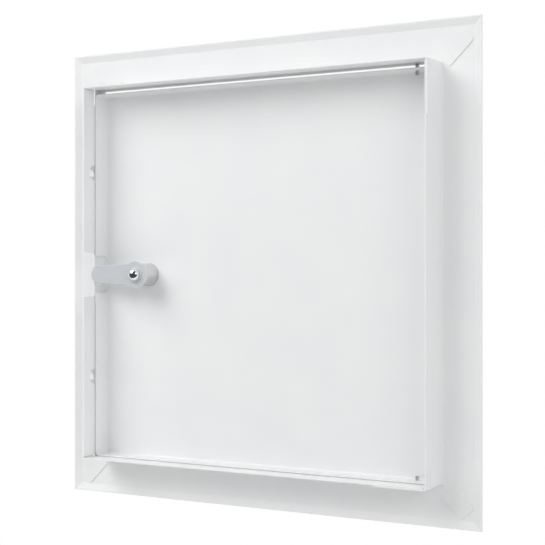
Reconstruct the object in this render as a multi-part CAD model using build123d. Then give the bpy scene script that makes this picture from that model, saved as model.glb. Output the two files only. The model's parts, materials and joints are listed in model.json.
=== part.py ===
from build123d import *
import math
import os

# Flush access panel for a square opening in a wall: a frame of four folded sheet legs, a sheet door
# that turns on two pins, and a cam lock. Millimetres. The front (room side) faces -Y, the collar runs
# back into the wall along +Y, and +Z is up. The hinge side is at -X and the latch side at +X.
# The pieces are drawn about the middle of the opening, with the wall's surface at Y = 0.

# Sheet steel of the frame and the door
SHEET = 1.0
BEND_RADIUS = 1.0  # inner radius of a right-angle fold

# Frame
COLLAR_SIZE = 299.0  # outer face to outer face
COLLAR_DEPTH = 30.0  # front face of the flange to the rim
FLANGE_WIDTH = 30.5  # collar's outer face to the frame's edge
LIP_WIDTH = 6.0  # strip along the frame's edge that leans back to the wall
LIP_RISE = 1.6  # how far the lip's edge stands behind the flange
LIP_LAND = 1.0  # flat along the lip's edge, seated on the wall

# Lapped corners of the collar: each leg ends in an ear, folded over the next leg
EAR_ROOT = 13.0  # along the depth, up to the rim
EAR_TIP = 1.6
EAR_LENGTH = 38.0
RELIEF_LENGTH = 12.0  # slit beside the ear's root
RELIEF_WIDTH = 1.4

# Straps welded over the flange's mitres
STRAP_WIDTH = 13.4
STRAP_THICKNESS = 0.8
STRAP_SETBACK = 1.6  # from the collar's corner, along the mitre
STRAP_TO_LIP = 0.3
STRAP_CORNER = 2.0

# Countersunk fixing holes and tongue notch in the latch-side collar wall
FIXING_RADIUS = 3.1
DIMPLE_RADIUS = 6.3  # countersink, pressed outwards
DIMPLE_DEPTH = 3.2
FIXING_SPACING = 165.0
FIXING_TO_RIM = 13.5
NOTCH_HEIGHT = 35.5
NOTCH_CORNER = 2.5
TONGUE_PLAY = 1.0  # tongue to the notch's base

# Door
DOOR_GAP_TOP = 3.6  # to the collar's inner faces
DOOR_GAP_BOTTOM = 0.3
DOOR_GAP_HINGE = 3.0
DOOR_GAP_LATCH = 0.4
DOOR_DEPTH = 16.0  # front face to the edge of the returns
DOOR_CORNER = 3.0
DOOR_NOTCH_HEIGHT = 29.7
DOOR_NOTCH_SILL = 2.0  # front face to the notch's base
DOOR_NOTCH_CORNER = 2.5

# Pivot pins
PIN_RADIUS = 1.5
PIN_CLEARANCE = 0.05  # in the door's holes
PIN_INSET = 16.0  # collar's inner face to the pivot axis
PIN_DEPTH = 6.0  # front face to the pivot axis
PIN_REACH = 3.0  # free end inside the door's return
PIN_HEAD_RADIUS = 3.0
PIN_HEAD_HEIGHT = 1.2
PIN_HEAD_EDGE = 0.6

# Cam lock
LOCK_INSET = 44.2  # collar's outer face on the latch side to the lock's axis
LOCK_DROP = 1.1  # lock, notches and fixing holes below the middle of the opening
BARREL_RADIUS = 9.1
BARREL_HOLE_CLEARANCE = 0.1
TONGUE_STANDOFF = 16.4  # door's back face to the tongue
ROSETTE_RADIUS = 13.0
ROSETTE_THICKNESS = 1.6
ROSETTE_EDGE = 0.8
CORE_RADIUS = 6.0
CORE_CLEARANCE = 0.05
CORE_HEAD_RADIUS = 8.5
CORE_HEAD_THICKNESS = 1.0
CORE_RECESS = 0.3  # core's face behind the rosette's face
AXIAL_PLAY = 0.2
SLOT_LENGTH = 12.0
SLOT_WIDTH = 1.8
SLOT_DEPTH = 1.5
SQUARE = 7.0  # core's driving square in the tongue
SQUARE_CLEARANCE = 0.05
TONGUE_THICKNESS = 2.5
TONGUE_HUB_RADIUS = 10.6
TONGUE_ROOT_RADIUS = 8.8  # half the bar's width at the hub
TONGUE_TIP_RADIUS = 6.8
TONGUE_OVERLAP = 0.7  # tip past the collar's inner face
WASHER_RADIUS = 6.6
WASHER_THICKNESS = 1.0
SCREW_RADIUS = 2.5
SCREW_CLEARANCE = 0.05
SCREW_LENGTH = 10.0
SCREW_HEAD_RADIUS = 5.2
SCREW_HEAD_HEIGHT = 4.6
SCREW_HEAD_RIM = 0.8  # straight edge under the dome

# Planes and half sizes that follow from these
half_collar = COLLAR_SIZE / 2
half_bore = half_collar - SHEET
half_frame = half_collar + FLANGE_WIDTH
lip_fold = half_frame - LIP_WIDTH
back_y = -LIP_RISE
front_y = back_y - SHEET
rim_y = front_y + COLLAR_DEPTH
ear_y = rim_y - EAR_ROOT
corner_centre = half_collar - BEND_RADIUS  # ear bend's axis, across its own leg
bend_start = half_bore - BEND_RADIUS  # ear bend's axis, along the next leg
door_top = half_bore - DOOR_GAP_TOP
door_bottom = DOOR_GAP_BOTTOM - half_bore
door_hinge = DOOR_GAP_HINGE - half_bore
door_latch = half_bore - DOOR_GAP_LATCH
door_back_y = front_y + SHEET
tongue_y = door_back_y + TONGUE_STANDOFF
washer_y = tongue_y + TONGUE_THICKNESS
screw_y = washer_y + WASHER_THICKNESS
pin_x = PIN_INSET - half_bore
pin_y = front_y + PIN_DEPTH
lock_x = half_collar - LOCK_INSET
lock_z = -LOCK_DROP
panel_height = half_frame - LIP_LAND / 2  # middle of the opening above the origin


def block(low, high):
    """A box between two opposite corners."""
    size = [b - a for a, b in zip(low, high)]
    middle = [(a + b) / 2 for a, b in zip(low, high)]
    return Pos(*middle) * Box(*size)


def outline(*points):
    """A flat face with straight sides."""
    return make_face(Polyline(*points, close=True))


def about_y(profile):
    """A turned piece: a profile of (radius, y) points, spun about the Y axis."""
    return revolve(outline(*profile), Axis.Y)


def leg_profile():
    """Section of a frame leg, across its length: lip, flange and collar wall, as (y, distance out)."""
    lip_land = half_frame - LIP_LAND
    lean = math.atan2(LIP_RISE, LIP_WIDTH - LIP_LAND)
    fold_shift = SHEET * math.tan(lean / 2)
    section = outline(
        (rim_y, half_collar),
        (back_y, half_collar),
        (back_y, lip_fold),
        (0, lip_land),
        (0, half_frame),
        (-SHEET, half_frame),
        (-SHEET, lip_land + fold_shift),
        (front_y, lip_fold + fold_shift),
        (front_y, half_bore),
        (rim_y, half_bore),
    )
    inner_bend = section.vertices().sort_by_distance((back_y, half_collar))[0]
    section = fillet(inner_bend, BEND_RADIUS)
    outer_bend = section.vertices().sort_by_distance((front_y, half_bore))[0]
    return fillet(outer_bend, BEND_RADIUS + SHEET)


def ear():
    """Tapered ear at the top leg's hinge end, with its bend round the corner of the collar."""
    quarter = outline((0, 0), (-half_frame, 0), (-half_frame, half_frame), (0, half_frame))
    ring = Circle(BEND_RADIUS + SHEET) - Circle(BEND_RADIUS)
    rim_plane = Plane.XZ.offset(-rim_y)
    bend = extrude(rim_plane * Pos(-corner_centre, bend_start) * (ring & quarter), amount=EAR_ROOT)
    tip = bend_start - EAR_LENGTH
    sheet = outline((ear_y, bend_start), (rim_y, bend_start), (rim_y, tip), (rim_y - EAR_TIP, tip))
    return bend + extrude(Plane.YZ.offset(-half_collar - SHEET) * sheet, amount=SHEET)


def frame_leg():
    """The top leg of the frame. Turned about Y by quarter turns it makes the other three."""
    bar = extrude(Plane.YZ * leg_profile(), amount=half_frame, both=True)
    reach = 2 * half_frame
    mitre = outline((0, 0), (-reach, reach), (reach, reach))
    leg = bar & extrude(Plane.XZ * mitre, amount=reach, both=True)
    relief_y = ear_y - RELIEF_WIDTH
    inside, outside = bend_start, half_frame
    leg -= block((-outside, relief_y, inside), (-corner_centre, rim_y, outside))
    leg -= block((-outside, relief_y, inside), (RELIEF_LENGTH - corner_centre, ear_y, outside))
    leg -= block((bend_start, relief_y, inside), (outside, rim_y, outside))
    return leg + ear()


def latch_leg():
    """The latch-side leg, drawn as the top leg: with its tongue notch and countersunk fixing holes."""
    notch = block(
        (-NOTCH_HEIGHT / 2, tongue_y - TONGUE_PLAY, bend_start),
        (NOTCH_HEIGHT / 2, rim_y + NOTCH_CORNER, half_frame),
    )
    corners = notch.faces().sort_by(Axis.Y)[0].edges().filter_by(Axis.Z)
    leg = frame_leg() - Pos(-lock_z, 0, 0) * fillet(corners, NOTCH_CORNER)
    slope = DIMPLE_RADIUS - FIXING_RADIUS
    wall = SHEET * (math.hypot(slope, DIMPLE_DEPTH) - slope) / DIMPLE_DEPTH  # keeps the cone's sheet even
    pressed = Cone(DIMPLE_RADIUS + wall, FIXING_RADIUS + wall, DIMPLE_DEPTH)
    hollow = Cone(DIMPLE_RADIUS, FIXING_RADIUS, DIMPLE_DEPTH)
    hole = Cylinder(FIXING_RADIUS, 2 * DIMPLE_DEPTH)
    for side in (-1, 1):
        along = side * FIXING_SPACING / 2 - lock_z
        at_wall = Pos(along, rim_y - FIXING_TO_RIM, half_bore + DIMPLE_DEPTH / 2)
        leg += at_wall * Pos(0, 0, SHEET) * pressed
        leg -= at_wall * (hollow + Pos(0, 0, DIMPLE_DEPTH) * hole)
    return leg


def corner_strap():
    """Strap over the mitre at the top corner of the latch side."""
    end = (lip_fold - STRAP_TO_LIP - half_collar) * math.sqrt(2) - STRAP_WIDTH / 2
    strap = block(
        (STRAP_SETBACK, back_y, -STRAP_WIDTH / 2),
        (end, back_y + STRAP_THICKNESS, STRAP_WIDTH / 2),
    )
    outer_end = strap.faces().sort_by(Axis.X)[-1].edges().filter_by(Axis.Y)
    strap = fillet(outer_end, STRAP_CORNER)
    return Pos(half_collar, 0, half_collar) * Rot(0, -45, 0) * strap


def door_leaf():
    """Shallow pan with rounded corners, cut for the tongue, the lock and the pins."""
    pan = block((door_hinge, front_y, door_bottom), (door_latch, front_y + DOOR_DEPTH, door_top))
    pan = fillet(pan.edges().filter_by(Axis.Y), DOOR_CORNER)
    pan = fillet(pan.faces().sort_by(Axis.Y)[0].edges(), BEND_RADIUS + SHEET)
    hollow = block(
        (door_hinge + SHEET, door_back_y, door_bottom + SHEET),
        (door_latch - SHEET, front_y + 2 * DOOR_DEPTH, door_top - SHEET),
    )
    hollow = fillet(hollow.edges().filter_by(Axis.Y), DOOR_CORNER - SHEET)
    hollow = fillet(hollow.faces().sort_by(Axis.Y)[0].edges(), BEND_RADIUS)
    notch = block(
        (door_latch - 2 * SHEET, front_y + DOOR_NOTCH_SILL, lock_z - DOOR_NOTCH_HEIGHT / 2),
        (door_latch + SHEET, front_y + 2 * DOOR_DEPTH, lock_z + DOOR_NOTCH_HEIGHT / 2),
    )
    notch = fillet(notch.faces().sort_by(Axis.Y)[0].edges().filter_by(Axis.X), DOOR_NOTCH_CORNER)
    lock_hole = Rot(90, 0, 0) * Cylinder(BARREL_RADIUS + BARREL_HOLE_CLEARANCE, 2 * DOOR_DEPTH)
    pin_holes = Pos(pin_x, pin_y, 0) * Cylinder(PIN_RADIUS + PIN_CLEARANCE, 2 * half_frame)
    return pan - hollow - notch - Pos(lock_x, front_y, lock_z) * lock_hole - pin_holes


def hinge_pin(return_face):
    """Upper pivot pin: its head lies on the outside of the collar, its end past the door's return."""
    shank_end = return_face - PIN_REACH
    shank_length = half_collar - shank_end
    head = Pos(0, 0, half_collar + PIN_HEAD_HEIGHT / 2) * Cylinder(PIN_HEAD_RADIUS, PIN_HEAD_HEIGHT)
    head = chamfer(head.faces().sort_by(Axis.Z)[-1].edges(), PIN_HEAD_EDGE)
    shank = Pos(0, 0, shank_end + shank_length / 2) * Cylinder(PIN_RADIUS, shank_length)
    return Pos(pin_x, pin_y, 0) * (head + shank)


def lock_barrel():
    """Barrel with its front rosette, bored for the core."""
    rosette_y = front_y - ROSETTE_THICKNESS
    seat_y = rosette_y + CORE_RECESS + CORE_HEAD_THICKNESS + AXIAL_PLAY
    bore = CORE_RADIUS + CORE_CLEARANCE
    head_bore = CORE_HEAD_RADIUS + CORE_CLEARANCE
    end_y = tongue_y - AXIAL_PLAY
    barrel = about_y(
        [
            (head_bore, rosette_y),
            (ROSETTE_RADIUS, rosette_y),
            (ROSETTE_RADIUS, front_y),
            (BARREL_RADIUS, front_y),
            (BARREL_RADIUS, end_y),
            (bore, end_y),
            (bore, seat_y),
            (head_bore, seat_y),
        ]
    )
    rosette_face = barrel.faces().sort_by(Axis.Y)[0]
    return chamfer(rosette_face.outer_wire().edges(), ROSETTE_EDGE)


def lock_core():
    """Turning core: slotted head in front, driving square behind, drilled for the screw."""
    face_y = front_y - ROSETTE_THICKNESS + CORE_RECESS
    core = about_y(
        [
            (0, face_y),
            (CORE_HEAD_RADIUS, face_y),
            (CORE_HEAD_RADIUS, face_y + CORE_HEAD_THICKNESS),
            (CORE_RADIUS, face_y + CORE_HEAD_THICKNESS),
            (CORE_RADIUS, tongue_y),
            (0, tongue_y),
        ]
    )
    half = SQUARE / 2
    core += block((-half, tongue_y, -half), (half, washer_y, half))
    core -= block(
        (-SLOT_LENGTH / 2, face_y - SLOT_DEPTH, -SLOT_WIDTH / 2),
        (SLOT_LENGTH / 2, face_y + SLOT_DEPTH, SLOT_WIDTH / 2),
    )
    hole = SCREW_RADIUS + SCREW_CLEARANCE
    hole_y = screw_y - SCREW_LENGTH
    return core - about_y([(0, hole_y), (hole, hole_y), (hole, screw_y), (0, screw_y)])


def lock_tongue():
    """Flat cam: round hub on the core's square, and a tapered bar with a round tip in the collar's notch."""
    root = Circle(TONGUE_ROOT_RADIUS)
    tip_x = half_bore + TONGUE_OVERLAP - TONGUE_TIP_RADIUS - lock_x
    tip = Pos(tip_x, 0) * Circle(TONGUE_TIP_RADIUS)
    plate = make_hull(root.edges() + tip.edges()) + Circle(TONGUE_HUB_RADIUS)
    plate -= Rectangle(SQUARE + 2 * SQUARE_CLEARANCE, SQUARE + 2 * SQUARE_CLEARANCE)
    return extrude(Plane.XZ.offset(-washer_y) * plate, amount=TONGUE_THICKNESS)


def tongue_washer():
    bore = SCREW_RADIUS + SCREW_CLEARANCE
    return about_y([(bore, washer_y), (WASHER_RADIUS, washer_y), (WASHER_RADIUS, screw_y), (bore, screw_y)])


def tongue_screw():
    """Dome-headed screw that clamps the tongue on the core."""
    dome_y = screw_y + SCREW_HEAD_RIM
    top_y = screw_y + SCREW_HEAD_HEIGHT
    end_y = screw_y - SCREW_LENGTH
    dome_height = top_y - dome_y
    dome_radius = (SCREW_HEAD_RADIUS**2 + dome_height**2) / (2 * dome_height)
    half_angle = math.asin(SCREW_HEAD_RADIUS / dome_radius) / 2
    dome_middle = (
        dome_radius * math.sin(half_angle),
        top_y - dome_radius * (1 - math.cos(half_angle)),
    )
    section = make_face(
        Polyline(
            (0, top_y),
            (0, end_y),
            (SCREW_RADIUS, end_y),
            (SCREW_RADIUS, screw_y),
            (SCREW_HEAD_RADIUS, screw_y),
            (SCREW_HEAD_RADIUS, dome_y),
        )
        + ThreePointArc((SCREW_HEAD_RADIUS, dome_y), dome_middle, (0, top_y))
    )
    return revolve(section, Axis.Y)


def make_pieces():
    """Every piece by name, about the middle of the opening."""
    leg = frame_leg()
    strap = corner_strap()
    pin_bores = Pos(pin_x, pin_y, 0) * Cylinder(PIN_RADIUS, 2 * half_frame)
    at_lock = Pos(lock_x, 0, lock_z)
    return {
        "frame_top": leg - pin_bores,
        "frame_hinge_side": Rot(0, -90, 0) * leg,
        "frame_bottom": Rot(0, 180, 0) * leg - pin_bores,
        "frame_latch_side": Rot(0, 90, 0) * latch_leg(),
        "corner_strap_top_latch": strap,
        "corner_strap_bottom_latch": Rot(0, 90, 0) * strap,
        "corner_strap_bottom_hinge": Rot(0, 180, 0) * strap,
        "corner_strap_top_hinge": Rot(0, -90, 0) * strap,
        "door_leaf": door_leaf(),
        "hinge_pin_top": hinge_pin(door_top - SHEET),
        "hinge_pin_bottom": mirror(hinge_pin(-door_bottom - SHEET), Plane.XY),
        "lock_barrel": at_lock * lock_barrel(),
        "lock_core": at_lock * lock_core(),
        "lock_tongue": at_lock * lock_tongue(),
        "tongue_washer": at_lock * tongue_washer(),
        "tongue_screw": at_lock * tongue_screw(),
    }


os.makedirs("parts", exist_ok=True)
for name, piece in make_pieces().items():
    export_step(Pos(0, 0, panel_height) * piece, f"parts/{name}.step")
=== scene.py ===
import json
import math

import bmesh
import bpy
from mathutils import Matrix, Vector


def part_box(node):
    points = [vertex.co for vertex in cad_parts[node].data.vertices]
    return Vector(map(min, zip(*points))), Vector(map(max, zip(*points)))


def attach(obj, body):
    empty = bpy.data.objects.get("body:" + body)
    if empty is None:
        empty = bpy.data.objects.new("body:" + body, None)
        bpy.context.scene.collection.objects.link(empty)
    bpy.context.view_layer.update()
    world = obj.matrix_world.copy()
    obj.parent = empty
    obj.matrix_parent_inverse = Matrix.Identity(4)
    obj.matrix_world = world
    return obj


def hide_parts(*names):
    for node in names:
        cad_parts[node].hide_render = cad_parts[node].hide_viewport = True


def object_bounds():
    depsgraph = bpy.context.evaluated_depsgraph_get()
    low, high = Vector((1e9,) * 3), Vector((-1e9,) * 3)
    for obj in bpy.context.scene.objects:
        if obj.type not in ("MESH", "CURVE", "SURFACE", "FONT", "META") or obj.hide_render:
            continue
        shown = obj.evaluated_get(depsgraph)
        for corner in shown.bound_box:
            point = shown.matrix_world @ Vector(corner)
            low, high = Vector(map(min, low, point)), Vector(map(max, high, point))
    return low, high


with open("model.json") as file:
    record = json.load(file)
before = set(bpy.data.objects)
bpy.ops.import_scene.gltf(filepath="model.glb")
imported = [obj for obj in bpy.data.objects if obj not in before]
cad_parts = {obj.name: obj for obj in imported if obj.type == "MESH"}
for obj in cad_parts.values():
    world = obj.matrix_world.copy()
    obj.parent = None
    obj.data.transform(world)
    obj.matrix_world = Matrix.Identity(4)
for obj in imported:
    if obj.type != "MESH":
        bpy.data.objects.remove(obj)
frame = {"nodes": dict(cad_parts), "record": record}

cad_low, cad_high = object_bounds()

MM = 0.001

# Camera, from the panel's corners in the photograph: level, behind the panel and to its hinge side
IMAGE_SIZE = 545
FOCAL_PIXELS = 1312.4
SENSOR_WIDTH = 36.0
CAMERA_YAW = math.radians(30.37)
CAMERA_PLACE = Vector((-515.5, 860.8, 180.0)) * MM

# Edges: cut sheet under powder coat, and the lock's metal
PAINTED_EDGE = 0.16 * MM
METAL_EDGE = 0.25 * MM
EDGE_SEGMENTS = 2
SHARP_ANGLE = math.radians(32)  # edges from this angle up are rounded
SMOOTH_LIMIT = math.cos(math.radians(40))  # faces within this angle share their shading
BROAD_FLAT = 250 * MM * MM  # faces from this area up are shaded flat
MERGE_DISTANCE = 0.001 * MM
FLAT_ANGLE = math.radians(0.2)

# Finishes: size of the grain, depth of its relief, and range of roughness
COAT_CLOUDS = 45 * MM
COAT_PEEL = 1.4 * MM
COAT_PEEL_RELIEF = 0.012 * MM
COAT_ROUGHNESS = (0.40, 0.50)
ROLLED_GRAIN_STRETCH = (60, 900, 900)
ROLLED_GRAIN_SCALE = 2.0
ROLLED_GRAIN_RELIEF = 0.01 * MM
PLATE_ROUGHNESS = (0.40, 0.50)
PLATE_METALLIC = 0.3
CAST_GRAIN = 0.9 * MM
CAST_GRAIN_RELIEF = 0.01 * MM
CAST_ROUGHNESS = (0.30, 0.38)
CAST_METALLIC = 0.9
HANDLING_MARKS = 2.5 * MM
SCREW_ROUGHNESS = (0.08, 0.14)
PIN_ROUGHNESS = (0.22, 0.34)
NOISE_LOW, NOISE_HIGH = 0.3, 0.7  # where most of a noise lies

# Spot welds: four on each corner strap, and two on each ear of the collar
WELD_RADIUS = 1.9 * MM
WELD_CROWN = 0.12 * MM
WELD_SINK = 0.2 * MM
WELD_TOP_SHARE = 0.7  # radius of the weld's top, to that of its foot
WELD_SIDES = 20
WELD_SIZE_RANGE = (0.92, 1.06)
WELD_SEED = 4
STRAP_WELD_SPACING = 13 * MM
STRAP_WELD_ROWS = 7.2 * MM
EAR_FACE = 150.5 * MM
EAR_CORNER = 149.5 * MM
EAR_WELDS = ((7 * MM, 20 * MM), (20 * MM, 22.6 * MM))  # down from the corner, and back from the wall

# Studio, in metres and watts: pale floor well below the panel, white background, soft light
LIGHT_HINGE_SIDE = 0.74
LIGHT_LATCH_SIDE = 0.14
FLOOR_RADIUS = 1.0
FLOOR_LEVEL = -0.30
FLOOR_SIDES = 96
FLOOR_TONE = 0.9
FLOOR_ROUGHNESS = 0.9
FLOOR_FADE = (0.45, 0.98)  # distances over which the floor runs into the background
CARD_PLACE = 1.9
CARD_HALF_WIDTH = 6
CARD_LOW, CARD_HIGH = -3, 4
CARD_TONE = 0.04
SOFT_BOXES = {  # place, width and power
    "key": ((0.95, 1.3, 1.45), 1.4, 25.5),
    "fill": ((-1.6, 1.2, 0.9), 1.0, 6),
    "room": ((0.7, -1.7, 1.3), 1.4, 11),
}


def link(name, data):
    """A new object in the scene, at the origin."""
    piece = bpy.data.objects.new(name, data)
    bpy.context.scene.collection.objects.link(piece)
    return piece


def plain_mesh(piece):
    """Makes the piece's modifiers part of its mesh."""
    bpy.context.view_layer.update()
    graph = bpy.context.evaluated_depsgraph_get()
    mesh = bpy.data.meshes.new_from_object(piece.evaluated_get(graph))
    piece.modifiers.clear()
    piece.data = mesh


# Materials

def shader(name):
    """A new material with its nodes, links and main shader."""
    material = bpy.data.materials.new(name)
    material.use_nodes = True
    nodes = material.node_tree.nodes
    return material, nodes, material.node_tree.links, nodes["Principled BSDF"]


def surface_noise(nodes, links, grain_size, detail=2.0):
    """Noise over the surface, with grains of the given size in metres."""
    place = nodes.new("ShaderNodeTexCoord")
    noise = nodes.new("ShaderNodeTexNoise")
    noise.inputs["Scale"].default_value = 1.0 / grain_size
    noise.inputs["Detail"].default_value = detail
    links.new(place.outputs["Object"], noise.inputs["Vector"])
    return noise.outputs["Fac"]


def rolled_grain(nodes, links):
    """Fine grain, drawn out along X."""
    place = nodes.new("ShaderNodeTexCoord")
    stretch = nodes.new("ShaderNodeMapping")
    stretch.inputs["Scale"].default_value = ROLLED_GRAIN_STRETCH
    grain = nodes.new("ShaderNodeTexNoise")
    grain.inputs["Scale"].default_value = ROLLED_GRAIN_SCALE
    grain.inputs["Detail"].default_value = 3.0
    links.new(place.outputs["Object"], stretch.inputs["Vector"])
    links.new(stretch.outputs["Vector"], grain.inputs["Vector"])
    return grain.outputs["Fac"]


def set_roughness(nodes, links, bsdf, noise, limits):
    """Roughness between two limits, by a noise."""
    span = nodes.new("ShaderNodeMapRange")
    span.inputs["From Min"].default_value = NOISE_LOW
    span.inputs["From Max"].default_value = NOISE_HIGH
    span.inputs["To Min"].default_value = limits[0]
    span.inputs["To Max"].default_value = limits[1]
    links.new(noise, span.inputs["Value"])
    links.new(span.outputs["Result"], bsdf.inputs["Roughness"])


def set_colour(nodes, links, bsdf, noise, dark, light):
    """Colour between two shades of a finish, by a noise."""
    ramp = nodes.new("ShaderNodeValToRGB")
    ramp.color_ramp.elements[0].position = NOISE_LOW
    ramp.color_ramp.elements[0].color = (*dark, 1)
    ramp.color_ramp.elements[1].position = NOISE_HIGH
    ramp.color_ramp.elements[1].color = (*light, 1)
    links.new(noise, ramp.inputs["Fac"])
    links.new(ramp.outputs["Color"], bsdf.inputs["Base Color"])


def set_relief(nodes, links, bsdf, noise, depth):
    """Fine relief of the surface, in metres."""
    bump = nodes.new("ShaderNodeBump")
    bump.inputs["Distance"].default_value = depth
    links.new(noise, bump.inputs["Height"])
    links.new(bump.outputs["Normal"], bsdf.inputs["Normal"])


def powder_coat(name, dark, light):
    """White semi-gloss powder coat: even colour, slight orange peel."""
    material, nodes, links, bsdf = shader(name)
    peel = surface_noise(nodes, links, COAT_PEEL, detail=1.0)
    set_colour(nodes, links, bsdf, surface_noise(nodes, links, COAT_CLOUDS), dark, light)
    set_roughness(nodes, links, bsdf, peel, COAT_ROUGHNESS)
    set_relief(nodes, links, bsdf, peel, COAT_PEEL_RELIEF)
    return material


def plated_steel(name, dark, light):
    """Satin zinc plate on rolled steel."""
    material, nodes, links, bsdf = shader(name)
    grain = rolled_grain(nodes, links)
    set_colour(nodes, links, bsdf, grain, dark, light)
    set_roughness(nodes, links, bsdf, grain, PLATE_ROUGHNESS)
    set_relief(nodes, links, bsdf, grain, ROLLED_GRAIN_RELIEF)
    bsdf.inputs["Metallic"].default_value = PLATE_METALLIC
    return material


def cast_metal(name, dark, light):
    """Light grey die casting with a satin skin."""
    material, nodes, links, bsdf = shader(name)
    grain = surface_noise(nodes, links, CAST_GRAIN)
    set_colour(nodes, links, bsdf, grain, dark, light)
    set_roughness(nodes, links, bsdf, grain, CAST_ROUGHNESS)
    set_relief(nodes, links, bsdf, grain, CAST_GRAIN_RELIEF)
    bsdf.inputs["Metallic"].default_value = CAST_METALLIC
    return material


def bright_metal(name, dark, light, roughness):
    """Polished metal with faint handling marks."""
    material, nodes, links, bsdf = shader(name)
    marks = surface_noise(nodes, links, HANDLING_MARKS, detail=4.0)
    set_colour(nodes, links, bsdf, marks, dark, light)
    set_roughness(nodes, links, bsdf, marks, roughness)
    bsdf.inputs["Metallic"].default_value = 1.0
    return material


frame_coat = powder_coat("frame_powder_coat", (0.87, 0.877, 0.884), (0.895, 0.898, 0.902))
door_coat = powder_coat("door_powder_coat", (0.855, 0.862, 0.869), (0.88, 0.883, 0.887))
tongue_plate = plated_steel("tongue_zinc_plate", (0.69, 0.72, 0.75), (0.74, 0.77, 0.80))
lock_casting = cast_metal("lock_zinc_casting", (0.69, 0.695, 0.705), (0.73, 0.735, 0.745))
screw_plating = bright_metal("screw_nickel_plate", (0.78, 0.78, 0.78), (0.84, 0.84, 0.84), SCREW_ROUGHNESS)
pin_steel = bright_metal("pin_bright_steel", (0.55, 0.55, 0.56), (0.66, 0.66, 0.67), PIN_ROUGHNESS)

FINISHES = {
    "frame_paint": (frame_coat, PAINTED_EDGE),
    "door_paint": (door_coat, PAINTED_EDGE),
    "tongue_steel": (tongue_plate, METAL_EDGE),
    "lock_metal": (lock_casting, METAL_EDGE),
    "screw_chrome": (screw_plating, METAL_EDGE),
    "pin_steel": (pin_steel, METAL_EDGE),
}


# Pieces carried over from the solids, with their edges softened as paint and plating leave them

def set_normals(mesh):
    """Broad flats, such as the flange and its lip, stay flat, and bends and rounded edges run into them."""
    around = [[] for _ in mesh.vertices]
    for face in mesh.polygons:
        for vertex in face.vertices:
            around[vertex].append(face)
    normals = []
    for face in mesh.polygons:
        for vertex in face.vertices:
            blend = Vector()
            for other in around[vertex]:
                if other.normal.dot(face.normal) > SMOOTH_LIMIT:
                    blend += other.normal * other.area
            normals.append(face.normal if face.area > BROAD_FLAT else blend.normalized())
    mesh.normals_split_custom_set(normals)


def softened(node, slot):
    """The node's shape with softened edges and its finish."""
    material, edge_width = FINISHES[slot]
    shape = bmesh.new()
    shape.from_mesh(frame["nodes"][node].data)
    bmesh.ops.remove_doubles(shape, verts=shape.verts, dist=MERGE_DISTANCE)
    bmesh.ops.dissolve_limit(shape, angle_limit=FLAT_ANGLE, verts=shape.verts, edges=shape.edges)
    for face in shape.faces:
        face.smooth = True
        face.material_index = 0
    mesh = bpy.data.meshes.new(f"{node}_finished")
    shape.to_mesh(mesh)
    shape.free()
    mesh.materials.append(material)
    piece = link(f"{node}_finished", mesh)
    bevel = piece.modifiers.new("softened_edge", "BEVEL")
    bevel.width = edge_width
    bevel.segments = EDGE_SEGMENTS
    bevel.limit_method = "ANGLE"
    bevel.angle_limit = SHARP_ANGLE
    bevel.use_clamp_overlap = False
    plain_mesh(piece)
    set_normals(piece.data)
    return piece


body_of_node = {node: body for body, nodes in frame["record"]["behaviour"]["bodies"].items() for node in nodes}
for entry in frame["record"]["subparts"]:
    node, slot = entry["node"], entry["material_slot"]
    piece = softened(node, slot)
    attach(piece, body_of_node[node])
    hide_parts(node)


# Spot welds

def weld_places():
    """Place and facing of every weld, on the straps' rear faces and on the ears' outer faces."""
    places = []
    centre = (cad_low + cad_high) / 2
    for right, up in ((1, 1), (1, -1), (-1, -1), (-1, 1)):
        end = "top" if up > 0 else "bottom"
        side = "latch" if right > 0 else "hinge"
        low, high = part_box(f"corner_strap_{end}_{side}")
        along = Vector((right, 0, up)).normalized()
        across = Vector((up, 0, -right)).normalized()
        strap = Vector(((low.x + high.x) / 2, high.y, (low.z + high.z) / 2))
        for step in (-0.5, 0.5):
            for row in (-0.5, 0.5):
                spot = strap + along * STRAP_WELD_SPACING * step + across * STRAP_WELD_ROWS * row
                places.append((spot, Vector((0, 1, 0))))
    for quarter in range(4):
        turn = Matrix.Rotation(quarter * math.pi / 2, 3, "Y")
        for down, back in EAR_WELDS:
            spot = turn @ Vector((-EAR_FACE, back, EAR_CORNER - down))
            places.append((spot + Vector((0, 0, centre.z)), turn @ Vector((-1, 0, 0))))
    return places


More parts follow.
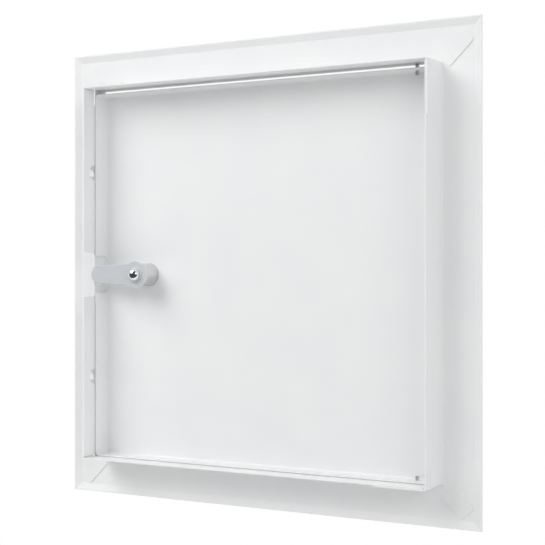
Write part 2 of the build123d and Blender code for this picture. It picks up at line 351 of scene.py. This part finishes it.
def weld_tree():
    """Sets a low round mark on every point, facing the way that the point states."""
    tree = bpy.data.node_groups.new("spot_welds", "GeometryNodeTree")
    sockets = {}
    for name, kind in (("Points", "Geometry"), ("Radius", "Float"), ("Height", "Float"), ("Paint", "Material")):
        sockets[name] = tree.interface.new_socket(name, in_out="INPUT", socket_type=f"NodeSocket{kind}")
    tree.interface.new_socket("Welds", in_out="OUTPUT", socket_type="NodeSocketGeometry")
    nodes, links = tree.nodes, tree.links
    given = nodes.new("NodeGroupInput")
    top = nodes.new("ShaderNodeMath")
    top.operation = "MULTIPLY"
    top.inputs[1].default_value = WELD_TOP_SHARE
    links.new(given.outputs["Radius"], top.inputs[0])
    mark = nodes.new("GeometryNodeMeshCone")
    mark.inputs["Vertices"].default_value = WELD_SIDES
    links.new(top.outputs[0], mark.inputs["Radius Top"])
    links.new(given.outputs["Radius"], mark.inputs["Radius Bottom"])
    links.new(given.outputs["Height"], mark.inputs["Depth"])
    facing = nodes.new("GeometryNodeInputNamedAttribute")
    facing.data_type = "FLOAT_VECTOR"
    facing.inputs["Name"].default_value = "facing"
    turn = nodes.new("FunctionNodeAlignRotationToVector")
    links.new(facing.outputs["Attribute"], turn.inputs["Vector"])
    size = nodes.new("FunctionNodeRandomValue")
    size.inputs["Min"].default_value = WELD_SIZE_RANGE[0]
    size.inputs["Max"].default_value = WELD_SIZE_RANGE[1]
    size.inputs["Seed"].default_value = WELD_SEED
    place = nodes.new("GeometryNodeInstanceOnPoints")
    links.new(given.outputs["Points"], place.inputs["Points"])
    links.new(mark.outputs["Mesh"], place.inputs["Instance"])
    links.new(turn.outputs["Rotation"], place.inputs["Rotation"])
    links.new(size.outputs["Value"], place.inputs["Scale"])
    real = nodes.new("GeometryNodeRealizeInstances")
    links.new(place.outputs["Instances"], real.inputs["Geometry"])
    paint = nodes.new("GeometryNodeSetMaterial")
    links.new(real.outputs["Geometry"], paint.inputs["Geometry"])
    links.new(given.outputs["Paint"], paint.inputs["Material"])
    result = nodes.new("NodeGroupOutput")
    links.new(paint.outputs["Geometry"], result.inputs["Welds"])
    return tree, sockets


def spot_welds():
    """All the welds as one painted piece of the frame."""
    places = weld_places()
    mesh = bpy.data.meshes.new("spot_welds")
    mesh.from_pydata([spot - facing * WELD_SINK for spot, facing in places], [], [])
    directions = mesh.attributes.new("facing", "FLOAT_VECTOR", "POINT")
    directions.data.foreach_set("vector", [value for _, facing in places for value in facing])
    welds = link("spot_welds", mesh)
    modifier = welds.modifiers.new("spot_welds", "NODES")
    tree, sockets = weld_tree()
    modifier.node_group = tree
    modifier[sockets["Radius"].identifier] = WELD_RADIUS
    modifier[sockets["Height"].identifier] = WELD_SINK + WELD_CROWN
    modifier[sockets["Paint"].identifier] = frame_coat
    plain_mesh(welds)
    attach(welds, "frame")


spot_welds()


# Studio

def studio_world():
    """White to the camera and in reflections, and a softer white as light, stronger from the hinge side."""
    world = bpy.data.worlds.new("studio")
    bpy.context.scene.world = world
    world.use_nodes = True
    nodes, links = world.node_tree.nodes, world.node_tree.links
    background = nodes["Background"]
    path = nodes.new("ShaderNodeLightPath")
    seen = path.outputs["Is Camera Ray"]
    for ray in ("Is Glossy Ray", "Is Transmission Ray"):
        either = nodes.new("ShaderNodeMath")
        either.operation = "MAXIMUM"
        links.new(seen, either.inputs[0])
        links.new(path.outputs[ray], either.inputs[1])
        seen = either.outputs[0]
    direction = nodes.new("ShaderNodeTexCoord")
    sideways = nodes.new("ShaderNodeSeparateXYZ")
    links.new(direction.outputs["Generated"], sideways.inputs["Vector"])
    light = nodes.new("ShaderNodeMapRange")
    light.inputs["From Min"].default_value = -1.0
    light.inputs["From Max"].default_value = 1.0
    light.inputs["To Min"].default_value = LIGHT_HINGE_SIDE
    light.inputs["To Max"].default_value = LIGHT_LATCH_SIDE
    links.new(sideways.outputs["X"], light.inputs["Value"])
    strength = nodes.new("ShaderNodeMapRange")
    strength.inputs["To Max"].default_value = 1.0
    links.new(light.outputs["Result"], strength.inputs["To Min"])
    links.new(seen, strength.inputs["Value"])
    background.inputs["Color"].default_value = (1, 1, 1, 1)
    links.new(strength.outputs["Result"], background.inputs["Strength"])


def studio_floor():
    """A round pale floor that fades into the background."""
    mesh = bpy.data.meshes.new("floor")
    disc = bmesh.new()
    bmesh.ops.create_circle(disc, cap_ends=True, segments=FLOOR_SIDES, radius=FLOOR_RADIUS)
    bmesh.ops.translate(disc, verts=disc.verts, vec=(0, 0, FLOOR_LEVEL))
    disc.to_mesh(mesh)
    disc.free()
    floor = link("floor", mesh)
    material, nodes, links, bsdf = shader("pale_floor")
    bsdf.inputs["Base Color"].default_value = (FLOOR_TONE, FLOOR_TONE, FLOOR_TONE, 1)
    bsdf.inputs["Roughness"].default_value = FLOOR_ROUGHNESS
    place = nodes.new("ShaderNodeTexCoord")
    distance = nodes.new("ShaderNodeVectorMath")
    distance.operation = "LENGTH"
    links.new(place.outputs["Object"], distance.inputs[0])
    fade = nodes.new("ShaderNodeMapRange")
    fade.inputs["From Min"].default_value = FLOOR_FADE[0]
    fade.inputs["From Max"].default_value = FLOOR_FADE[1]
    links.new(distance.outputs["Value"], fade.inputs["Value"])
    glow = nodes.new("ShaderNodeEmission")
    mix = nodes.new("ShaderNodeMixShader")
    links.new(fade.outputs["Result"], mix.inputs["Fac"])
    links.new(bsdf.outputs["BSDF"], mix.inputs[1])
    links.new(glow.outputs["Emission"], mix.inputs[2])
    links.new(mix.outputs["Shader"], nodes["Material Output"].inputs["Surface"])
    mesh.materials.append(material)
    floor.visible_glossy = False


def dark_card():
    """A dark card behind the camera, seen in reflections only, that gives bright metal its shape."""
    mesh = bpy.data.meshes.new("dark_card")
    corners = ((-1, CARD_LOW), (1, CARD_LOW), (1, CARD_HIGH), (-1, CARD_HIGH))
    mesh.from_pydata([(side * CARD_HALF_WIDTH, CARD_PLACE, height) for side, height in corners], [], [(0, 1, 2, 3)])
    card = link("dark_card", mesh)
    material, _, _, bsdf = shader("dark_card")
    bsdf.inputs["Base Color"].default_value = (CARD_TONE, CARD_TONE, CARD_TONE, 1)
    mesh.materials.append(material)
    card.visible_camera = False
    card.visible_diffuse = False
    card.visible_transmission = False
    card.visible_shadow = False


def soft_boxes():
    """Square soft lights, aimed at the panel's middle."""
    middle = (cad_low + cad_high) / 2
    for name, (place, width, power) in SOFT_BOXES.items():
        lamp = bpy.data.lights.new(name, "AREA")
        lamp.shape = "SQUARE"
        lamp.size = width
        lamp.energy = power
        light = link(name, lamp)
        light.location = place
        light.rotation_euler = (middle - Vector(place)).to_track_quat("-Z", "Y").to_euler()


def photograph_camera():
    """The photograph's camera, held level."""
    data = bpy.data.cameras.new("camera")
    data.sensor_width = SENSOR_WIDTH
    data.lens = FOCAL_PIXELS / IMAGE_SIZE * SENSOR_WIDTH
    camera = link("camera", data)
    camera.location = CAMERA_PLACE
    looking = Vector((math.sin(CAMERA_YAW), -math.cos(CAMERA_YAW), 0))
    camera.rotation_euler = looking.to_track_quat("-Z", "Y").to_euler()
    bpy.context.scene.camera = camera


studio_world()
studio_floor()
dark_card()
soft_boxes()
photograph_camera()
bpy.context.scene.view_settings.view_transform = "Standard"
